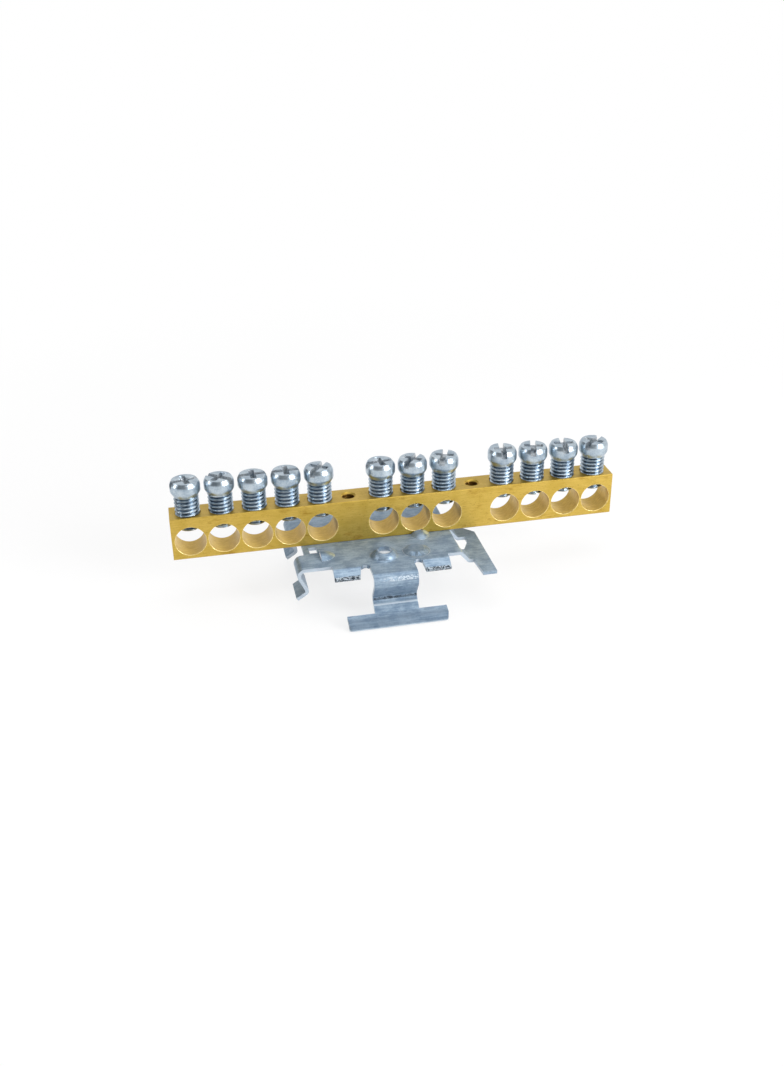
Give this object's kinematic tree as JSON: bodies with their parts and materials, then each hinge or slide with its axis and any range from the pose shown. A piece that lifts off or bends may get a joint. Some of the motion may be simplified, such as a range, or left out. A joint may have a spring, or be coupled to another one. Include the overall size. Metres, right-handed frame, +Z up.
{
  "type": "din rail terminal bar",
  "caption": "Brass terminal bar with a row of wire holes and clamping screws, screwed to a stamped spring clip that snaps over a 35 mm rail",
  "frame": {"origin": "the rail seat: the underside of the clip's plate, over the middle of the 35 mm rail and on the clip's own middle", "axes": "X runs along the bar and the rail, from the screws' first group to the last; Y points to the rear, away from the tongue; Z points up, out of the screws' heads"},
  "size_m": [0.0922, 0.0398, 0.0265],
  "materials": {
    "bar_brass": "drawn and milled brass, bare, with fine lengthwise scratches",
    "clip_steel": "spring steel, zinc plated, with bright sheared edges",
    "screw_steel": "steel, zinc plated, cold headed"
  },
  "bodies": {
    "root": {"terminal_bar": "bar_brass", "rail_clip": "clip_steel", "clip_fixing_screw": "screw_steel"},
    "screw_01": {"terminal_screw_01": "screw_steel"},
    "screw_02": {"terminal_screw_02": "screw_steel"},
    "screw_03": {"terminal_screw_03": "screw_steel"},
    "screw_04": {"terminal_screw_04": "screw_steel"},
    "screw_05": {"terminal_screw_05": "screw_steel"},
    "screw_06": {"terminal_screw_06": "screw_steel"},
    "screw_07": {"terminal_screw_07": "screw_steel"},
    "screw_08": {"terminal_screw_08": "screw_steel"},
    "screw_09": {"terminal_screw_09": "screw_steel"},
    "screw_10": {"terminal_screw_10": "screw_steel"},
    "screw_11": {"terminal_screw_11": "screw_steel"},
    "screw_12": {"terminal_screw_12": "screw_steel"}
  },
  "joints": [
    {"name": "screw_01_travel", "type": "slide", "parent": "root", "child": "screw_01", "axis": [0, 0, 1], "range_m": [-0.00355, 0.0013]},
    {"name": "screw_02_travel", "type": "slide", "parent": "root", "child": "screw_02", "axis": [0, 0, 1], "range_m": [-0.0035, 0.00135]},
    {"name": "screw_03_travel", "type": "slide", "parent": "root", "child": "screw_03", "axis": [0, 0, 1], "range_m": [-0.00335, 0.0015]},
    {"name": "screw_04_travel", "type": "slide", "parent": "root", "child": "screw_04", "axis": [0, 0, 1], "range_m": [-0.00345, 0.0014]},
    {"name": "screw_05_travel", "type": "slide", "parent": "root", "child": "screw_05", "axis": [0, 0, 1], "range_m": [-0.00355, 0.0013]},
    {"name": "screw_06_travel", "type": "slide", "parent": "root", "child": "screw_06", "axis": [0, 0, 1], "range_m": [-0.00335, 0.0015]},
    {"name": "screw_07_travel", "type": "slide", "parent": "root", "child": "screw_07", "axis": [0, 0, 1], "range_m": [-0.00335, 0.0015]},
    {"name": "screw_08_travel", "type": "slide", "parent": "root", "child": "screw_08", "axis": [0, 0, 1], "range_m": [-0.00345, 0.0014]},
    {"name": "screw_09_travel", "type": "slide", "parent": "root", "child": "screw_09", "axis": [0, 0, 1], "range_m": [-0.0036, 0.00125]},
    {"name": "screw_10_travel", "type": "slide", "parent": "root", "child": "screw_10", "axis": [0, 0, 1], "range_m": [-0.0035, 0.00135]},
    {"name": "screw_11_travel", "type": "slide", "parent": "root", "child": "screw_11", "axis": [0, 0, 1], "range_m": [-0.00345, 0.0014]},
    {"name": "screw_12_travel", "type": "slide", "parent": "root", "child": "screw_12", "axis": [0, 0, 1], "range_m": [-0.0034, 0.00145]}
  ]
}
